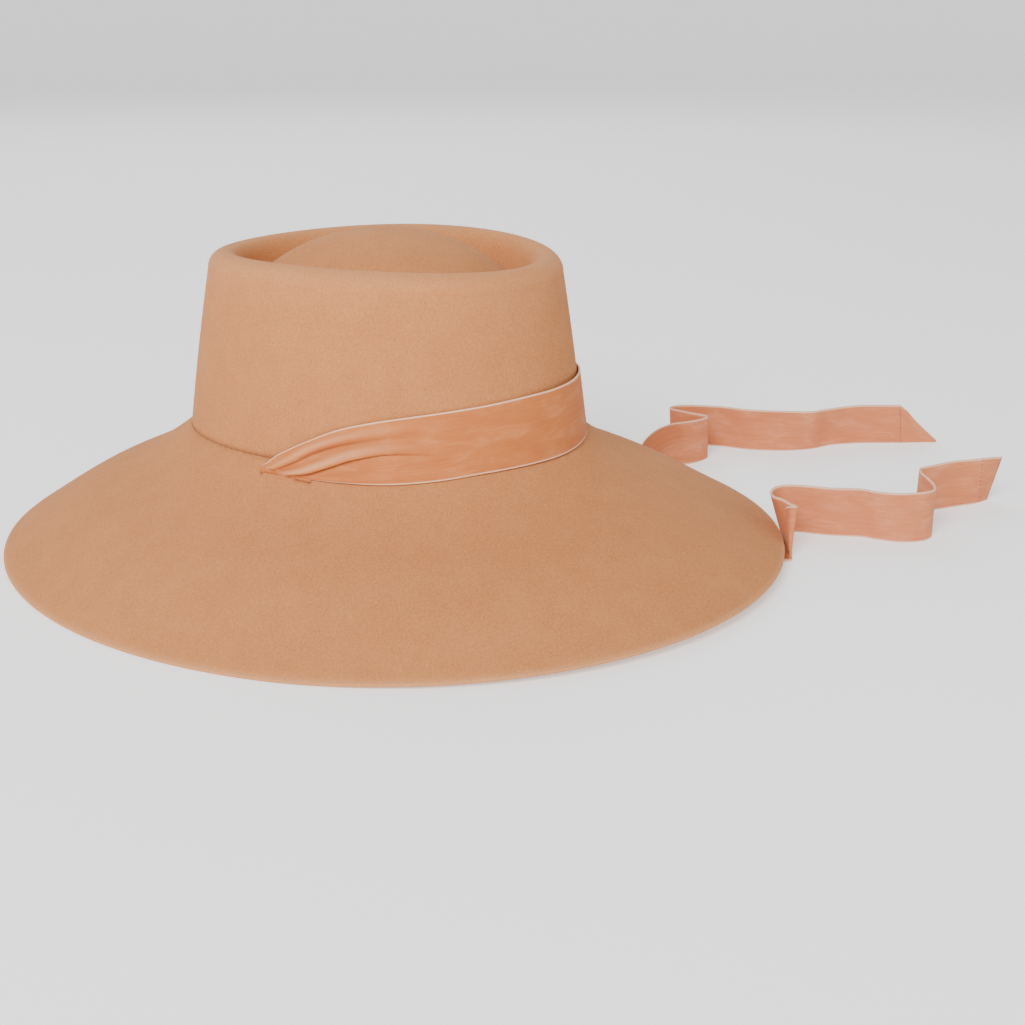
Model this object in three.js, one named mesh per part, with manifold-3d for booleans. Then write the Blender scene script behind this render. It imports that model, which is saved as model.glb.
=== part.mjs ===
// Wide-brimmed wool felt hat with a telescoped crown, a velvet ribbon band and two ribbon ties.
// Millimetres, +Z up, the brim resting on z = 0. +Y is the bare end of the head oval; the band
// goes round the -Y end, from a slit in the brim at -X to another at +X.
import * as THREE from 'three';
import { mergeVertices } from 'three/addons/utils/BufferGeometryUtils.js';
import Module from 'manifold-3d';

const wasm = await Module();
wasm.setup();

// Felt
const feltThickness = 2;
const seamGap = 0.3;

// Crown: the head oval at the brim, the narrower oval at the top, the shift of the head oval towards
// its bare end, and the telescoped top
const headHalfLength = 97.2;
const headHalfWidth = 81.6;
const headShift = 1.7;
const crownHeight = 82.2;
const topHalfLength = 84.7;
const topHalfWidth = 72.9;
const crestRadius = 7.8;
const grooveDepth = 15.5;
const grooveInset = 18.6;
const domeRise = 8.6;
const crownSaddle = 1.6;

// Brim
const brimLength = 94.1;
const brimWidth = 90.3;
const brimFall = 56.8;
const edgeLift = 4.9;
const liftTurn = 15;
const edgeLand = 1.7;

// Slits in the brim for the ribbon, one at each side of the head
const slitLength = 28.6;
const slitOpening = 2.6;
const slitStandoff = 5;
const slitSetback = 2.5;

// Ribbon
const bandWidth = 31.5;
const ribbonThickness = 1;
const wallClearance = 0.5;
const bandTail = 11;
const tieWidth = 24.5;

// Fineness of the facets
const crownSides = 56;
const brimSides = 72;
const bandAcross = 8;

const felt = new THREE.MeshStandardMaterial({ color: 0xc39066, roughness: 0.95, metalness: 0 });
const velvet = new THREE.MeshStandardMaterial({ color: 0xcf9468, roughness: 0.8, metalness: 0 });
const tieVelvet = new THREE.MeshStandardMaterial({ color: 0xd39c80, roughness: 0.8, metalness: 0 });

const radians = THREE.MathUtils.degToRad;
const brimHalfLength = headHalfLength + brimLength;
const brimHalfWidth = headHalfWidth + brimWidth;
const slitReach = headHalfWidth + slitStandoff;

// A point of an oval at a turn in degrees, counted from +Y towards -X
function ovalPoint(halfLength, halfWidth, turn, z) {
  return new THREE.Vector3(-halfWidth * Math.sin(radians(turn)), halfLength * Math.cos(radians(turn)), z);
}

// Share of the crown's taper reached at a share of its wall
function taperShare(up) {
  return up * (0.84 + 0.16 * up);
}

// How far the seam at the foot of the crown dips at the two ends of the oval
function seamHeight(turn) {
  return brimFall - crownSaddle * Math.cos(radians(2 * turn));
}

// The brim's edge lies flat from one side round the bare end and lifts a little where the ties pass under it
function edgeHeight(turn) {
  const raised = Math.max(0, -Math.cos(radians(turn - liftTurn)));
  return edgeLift * raised ** 1.2;
}

// Share of the fall reached at a share of the way out: steep at the crown, easing, then drooping
function fallShare(out) {
  return out + 0.033 * Math.sin(2 * Math.PI * out) + 0.0106 * Math.sin(3 * Math.PI * out);
}

// Height of the brim's upper face at a share of the way out
function brimTop(out, turn) {
  const rim = edgeHeight(turn) * out ** 3 + edgeLand;
  return rim + (seamHeight(turn) - edgeLand) * (1 - fallShare(out));
}

// Skin over a stack of closed loops with equal numbers of points, capped or joined end to end
function skin(loops, joined) {
  const count = loops[0].length;
  const points = loops.flat();
  const faces = [];
  const last = joined ? loops.length : loops.length - 1;
  for (let i = 0; i < last; i++) {
    const here = i * count;
    const next = ((i + 1) % loops.length) * count;
    for (let j = 0; j < count; j++) {
      const k = (j + 1) % count;
      faces.push(here + j, here + k, next + k, here + j, next + k, next + j);
    }
  }
  if (!joined) {
    for (const [i, forward] of [[0, false], [loops.length - 1, true]]) {
      const middle = new THREE.Vector3();
      loops[i].forEach((p) => middle.addScaledVector(p, 1 / count));
      points.push(middle);
      for (let j = 0; j < count; j++) {
        const pair = [i * count + j, i * count + ((j + 1) % count)];
        faces.push(...(forward ? pair : pair.reverse()), points.length - 1);
      }
    }
  }
  return facedOut(points, faces);
}

// A geometry whose faces point outwards
function facedOut(points, faces) {
  let volume = 0;
  for (let i = 0; i < faces.length; i += 3) {
    const [a, b, c] = [points[faces[i]], points[faces[i + 1]], points[faces[i + 2]]];
    volume += a.dot(new THREE.Vector3().crossVectors(b, c));
  }
  const geometry = new THREE.BufferGeometry();
  geometry.setAttribute('position', new THREE.Float32BufferAttribute(points.flatMap((p) => [p.x, p.y, p.z]), 3));
  geometry.setIndex(volume < 0 ? faces.reverse() : faces);
  geometry.computeVertexNormals();
  return geometry;
}

// A boolean solid from a closed geometry, and back
function toSolid(geometry) {
  const bare = geometry.clone();
  bare.deleteAttribute('normal');
  bare.deleteAttribute('uv');
  const merged = mergeVertices(bare, 1e-4);
  const vertProperties = new Float32Array(merged.attributes.position.array);
  const triVerts = new Uint32Array(merged.index.array);
  return new wasm.Manifold(new wasm.Mesh({ numProp: 3, vertProperties, triVerts }));
}

function fromSolid(solid) {
  const mesh = solid.getMesh();
  const geometry = new THREE.BufferGeometry();
  geometry.setAttribute('position', new THREE.Float32BufferAttribute(mesh.vertProperties, 3));
  geometry.setIndex(Array.from(mesh.triVerts));
  geometry.computeVertexNormals();
  return geometry;
}

// The crown's upper face as rings from the foot to the middle of the top
function crownRings() {
  const wallTop = crownHeight - crestRadius;
  const rings = [];
  for (const up of [0, 0.25, 0.5, 0.75, 1]) {
    const taper = taperShare(up);
    rings.push({
      length: THREE.MathUtils.lerp(headHalfLength, topHalfLength, taper),
      width: THREE.MathUtils.lerp(headHalfWidth, topHalfWidth, taper),
      rise: wallTop * up,
      saddle: crownSaddle,
      shift: headShift * (1 - taper),
    });
  }
  for (const angle of [22.5, 45, 67.5, 90]) {
    rings.push(topRing(crestRadius * (1 - Math.cos(radians(angle))), -crestRadius * (1 - Math.sin(radians(angle)))));
  }
  const groove = [
    { inset: 0.62, drop: 0.07 },
    { inset: 0.78, drop: 0.3 },
    { inset: 0.88, drop: 0.65 },
    { inset: 0.95, drop: 0.92 },
    { inset: 1.03, drop: 1 },
    { inset: 1.15, drop: 0.86 },
  ];
  for (const row of groove) {
    rings.push(topRing(grooveInset * row.inset, -grooveDepth * row.drop));
  }
  // Dome: a flat-topped bulge that drops ever faster towards the groove
  const domeDrop = domeRise + grooveDepth * 0.86;
  const domeStart = rings[rings.length - 1];
  for (const share of [0.87, 0.74, 0.58, 0.4, 0.2, 0.03]) {
    rings.push({
      length: domeStart.length * share,
      width: domeStart.width * share,
      rise: crownHeight + domeRise - domeDrop * share ** 2.4,
      saddle: crownSaddle * share,
      shift: 0,
    });
  }
  return rings;
}

// A ring of the crown's top, by its distance in from the wall and its height over the crest
function topRing(inset, height) {
  const half = { length: topHalfLength - inset, width: topHalfWidth - inset };
  return { ...half, rise: crownHeight + height, saddle: crownSaddle, shift: 0 };
}

function ringLoop(ring, sides) {
  return Array.from({ length: sides }, (_, i) => {
    const turn = (360 * i) / sides;
    const z = brimFall + ring.rise - ring.saddle * Math.cos(radians(2 * turn));
    const point = ovalPoint(ring.length, ring.width, turn, z);
    point.y += ring.shift;
    return point;
  });
}

// Rings moved in through the felt, square to the section
function innerRings(rings) {
  return rings.map((ring, i) => {
    const before = rings[Math.max(i - 1, 0)];
    const after = rings[Math.min(i + 1, rings.length - 1)];
    const along = new THREE.Vector2((after.length + after.width - before.length - before.width) / 2, after.rise - before.rise);
    along.setLength(feltThickness);
    return { ...ring, length: ring.length - along.y, width: ring.width - along.y, rise: ring.rise + along.x };
  });
}

function makeCrown() {
  const outer = crownRings();
  const inner = innerRings(outer).slice(0, -1);
  outer[0].rise = seamGap;
  inner[0].rise = seamGap;
  const tip = outer[outer.length - 1];
  inner.push({ ...tip, rise: tip.rise - feltThickness });
  const rings = [...outer].reverse().concat(inner);
  return skin(rings.map((ring) => ringLoop(ring, crownSides)), false);
}

// One ring of the brim, set in or out from a share of the way to the edge
function brimLoop(out, inset, height) {
  return Array.from({ length: brimSides }, (_, i) => {
    const turn = (360 * i) / brimSides;
    const length = headHalfLength + brimLength * out - inset;
    const width = headHalfWidth + brimWidth * out - inset;
    const point = ovalPoint(length, width, turn, height(turn));
    point.y += headShift * (1 - out);
    return point;
  });
}

function makeBrim() {
  const shares = [0, 0.07, 0.16, 0.28, 0.42, 0.57, 0.72, 0.86, 0.95, 1];
  const loops = [brimLoop(0, feltThickness, seamHeight)];
  for (const out of shares) {
    loops.push(brimLoop(out, 0, (turn) => brimTop(out, turn)));
  }
  // Cut edge with a narrow flat foot that the hat rests on
  loops.push(brimLoop(1, 0.7, edgeHeight));
  loops.push(brimLoop(1, 2.5, edgeHeight));
  for (const out of shares.slice(1, -1).reverse()) {
    const slope = (brimTop(out + 0.01, 90) - brimTop(out - 0.01, 90)) / (0.02 * brimWidth);
    const square = feltThickness / Math.hypot(1, slope);
    loops.push(brimLoop(out, -square * slope, (turn) => brimTop(out, turn) - square));
  }
  loops.push(brimLoop(0, feltThickness, (turn) => seamHeight(turn) - feltThickness * 1.3));
  const whole = toSolid(skin(loops, true));
  return fromSolid(whole.subtract(slitCutter(-1)).subtract(slitCutter(1)));
}

// Upright slot with round ends that pierces the brim beside the crown
function slitCutter(side) {
  const half = slitOpening / 2;
  const reach = slitLength / 2 - half;
  const outline = new THREE.Shape();
  outline.moveTo(-half, -reach);
  outline.absarc(0, -reach, half, Math.PI, 2 * Math.PI);
  outline.lineTo(half, reach);
  outline.absarc(0, reach, half, 0, Math.PI);
  outline.closePath();
  const cutter = new THREE.ExtrudeGeometry(outline, { depth: brimFall / 2, bevelEnabled: false, curveSegments: 5 });
  cutter.translate(side * slitReach, -slitSetback, brimFall * 0.75);
  return toSolid(cutter);
}

// Place on the crown's wall by turn and height above the seam, moved straight out by a stand-off
function wallPoint(turn, rise, standoff) {
  const up = THREE.MathUtils.clamp(rise / (crownHeight - crestRadius), 0, 1);
  const taper = taperShare(up);
  const length = THREE.MathUtils.lerp(headHalfLength, topHalfLength, taper) + standoff;
  const width = THREE.MathUtils.lerp(headHalfWidth, topHalfWidth, taper) + standoff;
  const point = ovalPoint(length, width, turn, seamHeight(turn) + rise);
  point.y += headShift * (1 - taper);
  return point;
}

// Height above the seam at which the ribbon's lower edge clears the brim at a stand-off
function seatRise(turn, standoff) {
  const out = standoff / brimWidth;
  return brimTop(out, turn) - seamHeight(turn) + ribbonThickness * 0.65 + seamGap;
}

// Closed ribbon over a grid of points on its middle face
function ribbonSolid(grid, thickness) {
  const loops = grid.map((row, i) => {
    const front = [];
    const back = [];
    row.forEach((point, j) => {
      const along = new THREE.Vector3().subVectors(grid[Math.min(i + 1, grid.length - 1)][j], grid[Math.max(i - 1, 0)][j]);
      const across = new THREE.Vector3().subVectors(row[Math.min(j + 1, row.length - 1)], row[Math.max(j - 1, 0)]);
      const normal = along.cross(across).setLength(thickness / 2);
      front.push(point.clone().add(normal));
      back.push(point.clone().sub(normal));
    });
    return front.concat(back.reverse());
  });
  return loops;
}

// Half of the band from the slit to the -Y end. Turns are in degrees; rise is a share of the band's
// width and stand a share of the slit's distance from the crown, for the upper and lower edges.
const bandSections = [
  { upperTurn: 85, upperRise: 0, upperStand: 1.04, lowerTurn: 99.6, lowerStand: 1.2, fold: 0 },
  { upperTurn: 86.3, upperRise: 0.05, upperStand: 0.85, lowerTurn: 100.4, lowerStand: 1.2, fold: 0.6 },
  { upperTurn: 89.3, upperRise: 0.108, upperStand: 0.48, lowerTurn: 102.5, lowerStand: 1.2, fold: 1 },
  { upperTurn: 97.6, upperRise: 0.343, upperStand: 0.3, lowerTurn: 107.5, lowerStand: 1.18, fold: 1 },
  { upperTurn: 106.7, upperRise: 0.552, upperStand: 0.24, lowerTurn: 113, lowerStand: 1.22, fold: 0.8 },
  { upperTurn: 117.7, upperRise: 0.695, upperStand: 0.2, lowerTurn: 120, lowerStand: 1.18, fold: 0.5 },
  { upperTurn: 131, upperRise: 0.803, upperStand: 0.2, lowerTurn: 131, lowerStand: 0.88, fold: 0.2 },
  { upperTurn: 144, upperRise: 0.879, upperStand: 0.2, lowerTurn: 143.5, lowerStand: 0.44, fold: 0 },
  { upperTurn: 159, upperRise: 0.945, upperStand: 0.24, lowerTurn: 158.5, lowerStand: 0.22, fold: 0 },
  { upperTurn: 173, upperRise: 0.97, upperStand: 0.42, lowerTurn: 173, lowerStand: 0.2, fold: 0 },
];
// Two pleats run out from the slit: where each lies across the ribbon and how far it stands proud
const pleats = [
  { start: 0.72, end: 0.86, proud: 0.22 },
  { start: 0.38, end: 0.55, proud: 0.26 },
];

// A column of a table read on a smooth curve through its rows, or on straight lines
function straight(rows, key, at) {
  const where = at * (rows.length - 1);
  const first = Math.min(Math.floor(where), rows.length - 2);
  return THREE.MathUtils.lerp(rows[first][key], rows[first + 1][key], where - first);
}

function sampled(rows, key, at) {
  const points = rows.map((row) => new THREE.Vector3(row[key], 0, 0));
  return new THREE.CatmullRomCurve3(points, false, 'catmullrom', 0.5).getPoint(at).x;
}

function makeBand() {
  const mirrored = bandSections.map((row) => ({ ...row, upperTurn: 360 - row.upperTurn, lowerTurn: 360 - row.lowerTurn }));
  const rows = [...bandSections, ...mirrored.reverse()];
  const steps = 56;
  const grid = [];
  for (let i = 0; i <= steps; i++) {
    const at = i / steps;
    const row = {};
    Object.keys(rows[0]).forEach((key) => { row[key] = sampled(rows, key, at); });
    const halfway = 1 - Math.abs(2 * at - 1);
    const lowerStand = slitStandoff * row.lowerStand;
    const points = [];
    for (let j = 0; j <= bandAcross; j++) {
      const up = j / bandAcross;
      const turn = THREE.MathUtils.lerp(row.lowerTurn, row.upperTurn, up);
      const stand = THREE.MathUtils.lerp(lowerStand, slitStandoff * row.upperStand, up);
      const lowest = seatRise(turn, stand);
      const rise = THREE.MathUtils.lerp(seatRise(turn, lowerStand), bandWidth * row.upperRise, up);
      let proud = 0;
      for (const pleat of pleats) {
        const middle = THREE.MathUtils.lerp(pleat.start, pleat.end, halfway * 2);
        proud += slitStandoff * pleat.proud * row.fold * Math.exp(-(((up - middle) / 0.12) ** 2));
      }
      const least = wallClearance + ribbonThickness / 2;
      points.push(wallPoint(turn, Math.max(rise, lowest), Math.max(stand, least) + proud));
    }
    grid.push(points);
  }
  const near = tail(grid[0]);
  const far = tail(grid[grid.length - 1]);
  return skin(ribbonSolid([...near.reverse(), ...grid, ...far], ribbonThickness), false);
}

// The band's end drawn straight into the slit's mouth and pushed down through it
function tail(row) {
  const x = Math.sign(row[0].x) * slitReach;
  return [
    row.map((point) => new THREE.Vector3(x, point.y, point.z - ribbonThickness * 1.5)),
    row.map((point) => new THREE.Vector3(x, point.y, brimFall - bandTail)),
  ];
}

// Ties. x and y place the edge that meets the floor, as shares of the brim's half width and half
// length, and hang adds a share of the slit's distance from the middle; drop is its height as a share
// of the brim's fall; leanX and leanY tip the ribbon out of upright, with 1 lying flat; tall is the
// share of the ribbon's width that is there.
const nearTieRows = [
  { x: 0, hang: -0.98, y: -0.0754, drop: 0.86, leanX: 0, leanY: 1, tall: 1 },
  { x: 0, hang: -0.978, y: -0.0764, drop: 0.5, leanX: 0.1, leanY: 0.99, tall: 1 },
  { x: 0, hang: -0.97, y: -0.0804, drop: 0.22, leanX: 0.3, leanY: 0.95, tall: 1 },
  { x: 0, hang: -0.937, y: -0.0905, drop: 0.06, leanX: 0.5, leanY: 0.87, tall: 1 },
  { x: 0, hang: -0.839, y: -0.1257, drop: 0, leanX: 0.66, leanY: 0.75, tall: 1 },
  { x: -0.1207, hang: 0, y: -0.4725, drop: 0, leanX: 0.78, leanY: 0.62, tall: 1 },
  { x: 0.1611, hang: 0, y: -0.794, drop: 0, leanX: 0.8, leanY: 0.6, tall: 1 },
  { x: 0.2804, hang: 0, y: -0.93, drop: 0, leanX: 0.9, leanY: 0.42, tall: 1 },
  { x: 0.2996, hang: 0, y: -0.9686, drop: 0, leanX: 0.93, leanY: 0.33, tall: 1 },
  { x: 0.317, hang: 0, y: -0.9665, drop: 0, leanX: 0.42, leanY: 0.28, tall: 1 },
  { x: 0.3252, hang: 0, y: -0.9629, drop: 0, leanX: 0.2, leanY: 0.12, tall: 1 },
  { x: 0.3316, hang: 0, y: -0.9597, drop: 0, leanX: 0.2, leanY: 0, tall: 1 },
  { x: 0.3519, hang: 0, y: -0.9503, drop: 0, leanX: 0.16, leanY: 0.1, tall: 1 },
  { x: 0.3909, hang: 0, y: -0.9362, drop: 0, leanX: 0.03, leanY: 0.17, tall: 1 },
  { x: 0.4299, hang: 0, y: -0.92, drop: 0, leanX: -0.135, leanY: 0.22, tall: 1 },
  { x: 0.4654, hang: 0, y: -0.9033, drop: 0, leanX: -0.2, leanY: 0.24, tall: 1 },
  { x: 0.4927, hang: 0, y: -0.8918, drop: 0, leanX: -0.17, leanY: 0.21, tall: 1 },
  { x: 0.5143, hang: 0, y: -0.8887, drop: 0, leanX: -0.12, leanY: 0.15, tall: 1 },
  { x: 0.53, hang: 0, y: -0.8991, drop: 0, leanX: -0.08, leanY: 0.1, tall: 1 },
  { x: 0.5428, hang: 0, y: -0.9357, drop: 0, leanX: -0.05, leanY: 0.07, tall: 1 },
  { x: 0.5542, hang: 0, y: -0.9982, drop: 0, leanX: -0.04, leanY: 0.05, tall: 1 },
  { x: 0.5834, hang: 0, y: -1.0716, drop: 0, leanX: -0.02, leanY: 0.08, tall: 1 },
  { x: 0.5844, hang: 0, y: -1.1118, drop: 0, leanX: -0.05, leanY: 0.07, tall: 1 },
  { x: 0.5894, hang: 0, y: -1.163, drop: 0, leanX: -0.01, leanY: 0.08, tall: 1 },
  { x: 0.6095, hang: 0, y: -1.1982, drop: 0, leanX: 0.01, leanY: 0.09, tall: 1 },
  { x: 0.6417, hang: 0, y: -1.2234, drop: 0, leanX: 0, leanY: 0.05, tall: 1 },
  { x: 0.6819, hang: 0, y: -1.2284, drop: 0, leanX: -0.04, leanY: 0, tall: 1 },
  { x: 0.7262, hang: 0, y: -1.2123, drop: 0, leanX: -0.01, leanY: -0.02, tall: 1 },
  { x: 0.7735, hang: 0, y: -1.1832, drop: 0, leanX: 0, leanY: -0.04, tall: 1 },
  { x: 0.8177, hang: 0, y: -1.158, drop: 0, leanX: -0.01, leanY: -0.05, tall: 1 },
  { x: 0.859, hang: 0, y: -1.157, drop: 0, leanX: -0.07, leanY: 0.01, tall: 1 },
  { x: 0.9002, hang: 0, y: -1.1761, drop: 0, leanX: -0.13, leanY: 0.08, tall: 1 },
  { x: 0.9756, hang: 0, y: -1.2314, drop: 0, leanX: -0.03, leanY: 0.08, tall: 1 },
  { x: 1.033, hang: 0, y: -1.2736, drop: 0, leanX: -0.09, leanY: 0.04, tall: 1 },
  { x: 1.0813, hang: 0, y: -1.2947, drop: 0, leanX: 0.03, leanY: -0.22, tall: 1 },
];
const farTieRows = [
  { x: 0, hang: 0.98, y: -0.0754, drop: 0.86, leanX: 0, leanY: 1, tall: 1 },
  { x: 0, hang: 0.976, y: -0.0764, drop: 0.5, leanX: 0.08, leanY: 0.99, tall: 1 },
  { x: 0, hang: 0.995, y: -0.0804, drop: 0.22, leanX: 0.3, leanY: 0.95, tall: 1 },
  { x: 0, hang: 1.04, y: -0.0945, drop: 0.06, leanX: 0.5, leanY: 0.87, tall: 1 },
  { x: 0, hang: 1.112, y: -0.1277, drop: 0, leanX: 0.6, leanY: 0.8, tall: 1 },
  { x: 0.7242, hang: 0, y: -0.3116, drop: 0, leanX: 0.6, leanY: 0.8, tall: 1 },
  { x: 0.8047, hang: 0, y: -0.382, drop: 0, leanX: 0.42, leanY: 0.91, tall: 1 },
  { x: 0.873, hang: 0, y: -0.4111, drop: 0, leanX: 0.235, leanY: 0.972, tall: 1 },
  { x: 0.9354, hang: 0, y: -0.4292, drop: 0, leanX: 0.235, leanY: 0.972, tall: 1 },
  { x: 0.9525, hang: 0, y: -0.4343, drop: 0, leanX: 0.22, leanY: 0.88, tall: 1 },
  { x: 0.9666, hang: 0, y: -0.4413, drop: 0, leanX: 0.18, leanY: 0.72, tall: 1 },
  { x: 0.9877, hang: 0, y: -0.4534, drop: 0, leanX: 0.06, leanY: 0.5, tall: 1 },
  { x: 1.0119, hang: 0, y: -0.4644, drop: 0, leanX: -0.07, leanY: 0.24, tall: 1 },
  { x: 1.043, hang: 0, y: -0.4745, drop: 0, leanX: -0.07, leanY: 0.08, tall: 1 },
  { x: 1.0742, hang: 0, y: -0.4815, drop: 0, leanX: -0.03, leanY: 0.02, tall: 1 },
  { x: 1.0973, hang: 0, y: -0.4805, drop: 0, leanX: -0.04, leanY: 0.02, tall: 1 },
  { x: 1.1134, hang: 0, y: -0.4674, drop: 0, leanX: -0.08, leanY: 0.02, tall: 1 },
  { x: 1.1215, hang: 0, y: -0.4383, drop: 0, leanX: -0.1, leanY: 0.04, tall: 1 },
  { x: 1.1275, hang: 0, y: -0.3981, drop: 0, leanX: -0.08, leanY: 0.05, tall: 1 },
  { x: 1.1346, hang: 0, y: -0.3609, drop: 0, leanX: -0.06, leanY: 0.05, tall: 1 },
  { x: 1.1527, hang: 0, y: -0.3468, drop: 0, leanX: -0.05, leanY: 0.03, tall: 1 },
  { x: 1.1778, hang: 0, y: -0.3528, drop: 0, leanX: -0.06, leanY: 0.01, tall: 1 },
  { x: 1.204, hang: 0, y: -0.378, drop: 0, leanX: -0.09, leanY: 0.04, tall: 1 },
  { x: 1.2241, hang: 0, y: -0.4162, drop: 0, leanX: -0.1, leanY: 0.03, tall: 1 },
  { x: 1.2432, hang: 0, y: -0.4855, drop: 0, leanX: -0.09, leanY: 0.01, tall: 1 },
  { x: 1.2482, hang: 0, y: -0.5649, drop: 0, leanX: -0.09, leanY: 0.02, tall: 1 },
  { x: 1.2915, hang: 0, y: -0.6614, drop: 0, leanX: -0.13, leanY: 0.02, tall: 1 },
  { x: 1.3528, hang: 0, y: -0.7268, drop: 0, leanX: -0.24, leanY: -0.01, tall: 1 },
  { x: 1.4313, hang: 0, y: -0.769, drop: 0, leanX: -0.29, leanY: 0, tall: 1 },
  { x: 1.4997, hang: 0, y: -0.8434, drop: 0, leanX: -0.21, leanY: 0.03, tall: 1 },
  { x: 1.5671, hang: 0, y: -0.9509, drop: 0, leanX: -0.22, leanY: 0.03, tall: 1 },
  { x: 1.6003, hang: 0, y: -0.9982, drop: 0, leanX: -0.23, leanY: 0.04, tall: 0.53 },
  { x: 1.6345, hang: 0, y: -1.0454, drop: 0, leanX: -0.24, leanY: 0.05, tall: 0.05 },
];

function makeTie(rows) {
  const steps = (rows.length - 1) * 2;
  const grid = [];
  for (let i = 0; i <= steps; i++) {
    const at = i / steps;
    const row = {};
    Object.keys(rows[0]).forEach((key) => { row[key] = sampled(rows, key, at); });
    row.tall = straight(rows, 'tall', at);
    const reach = row.x * brimHalfWidth + row.hang * slitReach;
    const foot = new THREE.Vector3(reach, row.y * brimHalfLength, Math.max(0, row.drop) * brimFall);
    const tip = Math.min(1, Math.hypot(row.leanX, row.leanY));
    const across = new THREE.Vector3(row.leanX, row.leanY, 0).setLength(tip || 1e-6);
    across.z = Math.sqrt(Math.max(0, 1 - tip * tip));
    grid.push([0, 0.5, 1].map((share) => foot.clone().addScaledVector(across, tieWidth * share * row.tall)));
  }
  const loops = ribbonSolid(grid, ribbonThickness);
  for (const loop of loops) {
    const lowest = Math.min(...loop.map((p) => p.z));
    if (lowest < ribbonThickness) {
      loop.forEach((p) => { p.z -= lowest; });
    }
  }
  return skin(loops, false);
}

const hat = new THREE.Group();
for (const [name, geometry, material] of [
  ['crown', makeCrown(), felt],
  ['brim', makeBrim(), felt],
  ['velvet_band', makeBand(), velvet],
  ['near_tie', makeTie(nearTieRows), tieVelvet],
  ['far_tie', makeTie(farTieRows), tieVelvet],
]) {
  const mesh = new THREE.Mesh(geometry, material);
  mesh.name = name;
  hat.add(mesh);
}
const bounds = new THREE.Box3().setFromObject(hat);
const middle = bounds.getCenter(new THREE.Vector3());
hat.position.set(-middle.x, -middle.y, -bounds.min.z);

export default hat;
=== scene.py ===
"""Looks of a wide-brimmed felt hat with a velvet ribbon band and two loose ribbon ties.

Sizes are in millimetres in the hat's own frame, which has the head oval's middle at x = y = 0,
+Y towards its bare end, +Z up and the floor at z = 0. Pieces are placed in metres in the part's frame.
"""

from __future__ import annotations

import logging
import math
import random
from dataclasses import dataclass, field, fields
from enum import Enum
from typing import Callable, Mapping, Sequence

import bmesh
import bpy
from mathutils import Matrix, Vector

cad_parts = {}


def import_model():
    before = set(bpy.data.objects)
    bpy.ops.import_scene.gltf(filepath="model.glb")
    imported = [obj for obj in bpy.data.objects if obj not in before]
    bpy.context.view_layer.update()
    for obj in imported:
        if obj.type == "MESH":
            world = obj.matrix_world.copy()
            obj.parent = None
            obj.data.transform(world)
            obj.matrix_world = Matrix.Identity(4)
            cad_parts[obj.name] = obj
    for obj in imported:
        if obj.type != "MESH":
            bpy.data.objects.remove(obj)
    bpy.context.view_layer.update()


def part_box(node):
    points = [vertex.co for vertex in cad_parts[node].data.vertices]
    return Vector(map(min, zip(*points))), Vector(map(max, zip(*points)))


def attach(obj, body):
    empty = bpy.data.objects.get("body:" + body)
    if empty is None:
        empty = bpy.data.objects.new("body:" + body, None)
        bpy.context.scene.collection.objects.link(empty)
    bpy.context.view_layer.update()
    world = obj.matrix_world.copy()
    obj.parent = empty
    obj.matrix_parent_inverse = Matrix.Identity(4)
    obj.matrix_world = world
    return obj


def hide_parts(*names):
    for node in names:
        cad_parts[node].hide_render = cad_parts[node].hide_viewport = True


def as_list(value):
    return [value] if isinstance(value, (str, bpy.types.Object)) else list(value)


log = logging.getLogger("hat")
MM = 0.001
Colour = tuple[float, float, float, float]


def srgb(red: int, green: int, blue: int) -> Colour:
    """Turns a colour given in 0-255 display values into the linear colour that shaders use.

    Args:
        red: Red as displayed.
        green: Green as displayed.
        blue: Blue as displayed.

    Returns:
        The linear colour with an alpha of 1.
    """
    linear = [(c / 255 / 12.92) if c < 11 else ((c / 255 + 0.055) / 1.055) ** 2.4 for c in (red, green, blue)]
    return (linear[0], linear[1], linear[2], 1.0)


def blend(a: float, b: float, share: float) -> float:
    """Goes from a to b by a share."""
    return a + (b - a) * share


def smooth(low: float, high: float, value: float) -> float:
    """Eases from 0 at low to 1 at high."""
    share = min(1.0, max(0.0, (value - low) / (high - low)))
    return share * share * (3 - 2 * share)


# Shader helpers


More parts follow.
